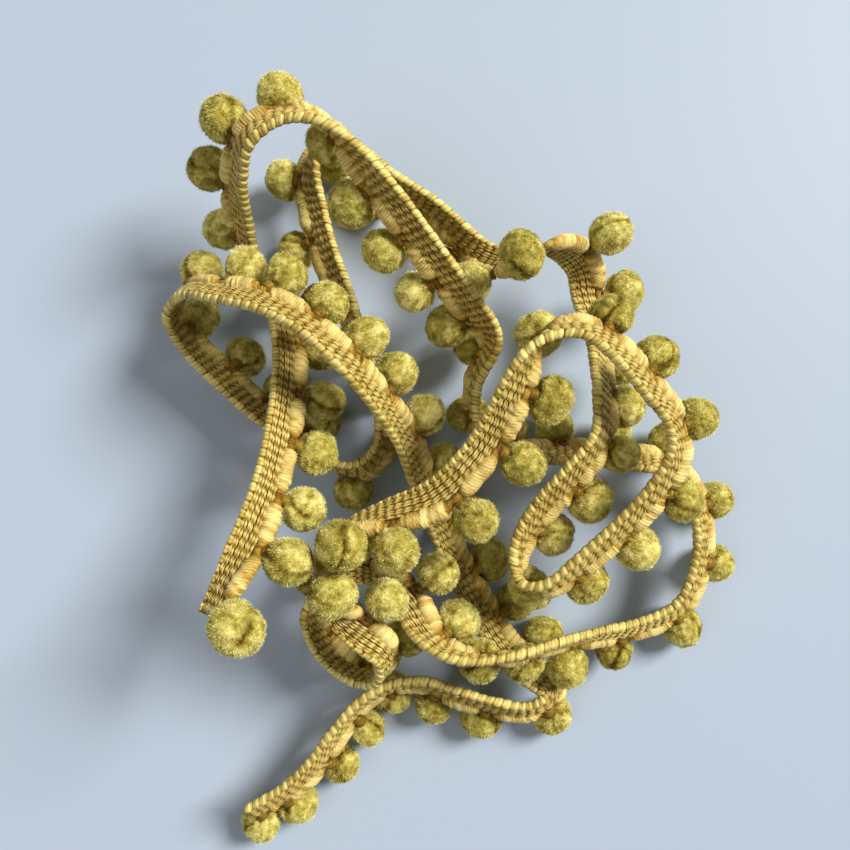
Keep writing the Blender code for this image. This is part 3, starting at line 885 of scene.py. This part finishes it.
def pom_bodies():
    x, f = ball(19, 36)
    all_pts, depth, shade = [], [], []
    for i in range(COUNT):
        rng = np.random.default_rng(100 + i)
        reach, crest = pom_shape(i, x)
        size, stretch, _, _, tone = pom_build(i)
        r = size * (3.80 * reach + rng.uniform(-0.09, 0.09, len(x)))
        local = x * r[:, None] * stretch
        world = (POM_MID[i] + local[:, :1] * POM_AXIS[i] + local[:, 1:2] * POM_SIDE[i]
                 + local[:, 2:] * POM_OTHER[i])
        all_pts.append(settle(world, i))
        # painted shade and highlight from how lit each tuft is, with random tone
        depth.append(np.clip(crest * 0.7 + rng.uniform(-0.10, 0.10, len(x)), 0, 1))
        shade.append(np.full(len(x), tone))
    n = len(x)
    faces = (f[None] + (np.arange(COUNT) * n)[:, None, None]).reshape(-1, 3)
    return np.vstack(all_pts), faces, np.concatenate(depth), np.concatenate(shade)


pts, faces, depth, shade = pom_bodies()
poms = build("pompoms", pts, faces, PILE_SHADED, {"depth": depth, "shade": shade})


def pom_fuzz(batch, per_pom, long):
    """Cut yarn ends that stand out of each pompom: thin blades, one triangle each."""
    all_pts, depth, shade = [], [], []
    for i in range(COUNT):
        rng = np.random.default_rng(3000 + 200 * batch + i)
        k = np.arange(per_pom) + 0.5
        polar = np.arccos(1 - 2 * k / per_pom)
        turn = math.pi * (1 + 5 ** 0.5) * k + rng.uniform(0, 6)
        x = np.stack([-np.cos(polar), np.sin(polar) * np.cos(turn), np.sin(polar) * np.sin(turn)], 1)
        x += rng.normal(scale=0.03, size=x.shape)
        x /= np.linalg.norm(x, axis=1)[:, None]
        reach, crest = pom_shape(i, x)
        size, stretch, comb, lead, tone = pom_build(i)
        flow = lead + x @ comb
        flow = flow - x * (flow * x).sum(1)[:, None]
        flow = flow / (0.6 + np.linalg.norm(flow, axis=1)[:, None])
        out = x * rng.uniform(0.25, 1.0, (per_pom, 1)) + 0.75 * flow + rng.normal(scale=0.26, size=x.shape)
        out /= np.linalg.norm(out, axis=1)[:, None]
        reach_out = long * (rng.uniform(0.50, 1.05, per_pom) + 0.35 * rng.uniform(0, 1, per_pom) ** 6)
        base = x * (size * 3.76 * reach)[:, None] * stretch
        tip = base + out * reach_out[:, None]
        flat = np.cross(out, rng.normal(size=x.shape))
        flat /= np.linalg.norm(flat, axis=1)[:, None]
        w = 0.050 * rng.uniform(0.6, 1.5, per_pom)[:, None]
        tri = np.stack([base - flat * w, base + flat * w, tip], 1).reshape(-1, 3)
        world = (POM_MID[i] + tri[:, :1] * POM_AXIS[i] + tri[:, 1:2] * POM_SIDE[i]
                 + tri[:, 2:] * POM_OTHER[i])
        all_pts.append(settle(world, i))
        # painted shade at the roots of the yarn ends and painted highlight at their tips, lit more on the tuft
        # crests
        own = crest * 0.75 + rng.uniform(-0.24, 0.24, per_pom)
        depth.append(np.clip(np.stack([own - 0.25, own - 0.25, own + 0.12], 1).ravel(), 0, 1))
        shade.append(np.repeat(0.5 * tone + 0.5 * rng.uniform(0.0, 1.0, per_pom), 3))
    total = COUNT * per_pom
    return (np.vstack(all_pts), np.arange(total * 3).reshape(-1, 3),
            np.concatenate(depth), np.concatenate(shade))


for batch, name in ((0, "pompom_pile_a"), (1, "pompom_pile_b")):
    pts, faces, depth, shade = pom_fuzz(batch, 2080, 0.56)
    build(name, pts, faces, FUZZ_LIT, {"depth": depth, "shade": shade})

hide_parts("heading_braid")
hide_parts("pompom_fringe")

PATH = spot(np.linspace(0, LENGTH, 460), 0.0, 0.0) + (SHIFT[0], SHIFT[1], 0.0)
PATH = PATH * 0.001


# ---- floor, lights, camera ------------------------------------------------------------
def floor_material():
    mat, tree, bsdf = nodes_of("pale_floor")
    bsdf.inputs["Base Color"].default_value = (0.435, 0.515, 0.63, 1.0)
    bsdf.inputs["Roughness"].default_value = 0.55
    return mat


mesh = bpy.data.meshes.new("floor")
mesh.from_pydata([(-3, -3, 0), (3, -3, 0), (3, 3, 0), (-3, 3, 0)], [], [(0, 1, 2, 3)])
mesh.materials.append(floor_material())
floor = bpy.data.objects.new("floor", mesh)
floor.location.z = -0.0001
bpy.context.scene.collection.objects.link(floor)


def lamp(name, at, size, power, colour, aim=(0.0, 0.0, 0.0)):
    data = bpy.data.lights.new(name, "AREA")
    data.shape = "DISK"
    data.size = size
    data.energy = power
    data.color = colour
    obj = bpy.data.objects.new(name, data)
    obj.location = at
    obj.rotation_euler = (Vector(aim) - Vector(at)).to_track_quat("-Z", "Y").to_euler()
    bpy.context.scene.collection.objects.link(obj)


lamp("key", (4.80, 3.04, 4.96), 2.9, 800.0, (1.0, 0.975, 0.93))
lamp("fill", (-1.2, -0.2, 1.7), 1.4, 7.0, (1.0, 0.98, 0.95))

world = bpy.data.worlds.new("soft_light")
world.use_nodes = True
world.node_tree.nodes["Background"].inputs["Color"].default_value = (1.0, 0.98, 0.95, 1.0)
world.node_tree.nodes["Background"].inputs["Strength"].default_value = 0.22
bpy.context.scene.world = world
bpy.context.scene.view_settings.view_transform = "Standard"

camera = bpy.data.cameras.new("camera")
camera.sensor_fit = "HORIZONTAL"
camera.sensor_width = 36.0
camera.lens = 36.0 * EYE_HEIGHT / (850 * GRID_STEP)
camera.clip_start = 0.005
eye = bpy.data.objects.new("camera", camera)
eye.location = (SHIFT[0] * 0.001, SHIFT[1] * 0.001, EYE_HEIGHT * 0.001)
bpy.context.scene.collection.objects.link(eye)
bpy.context.scene.camera = eye
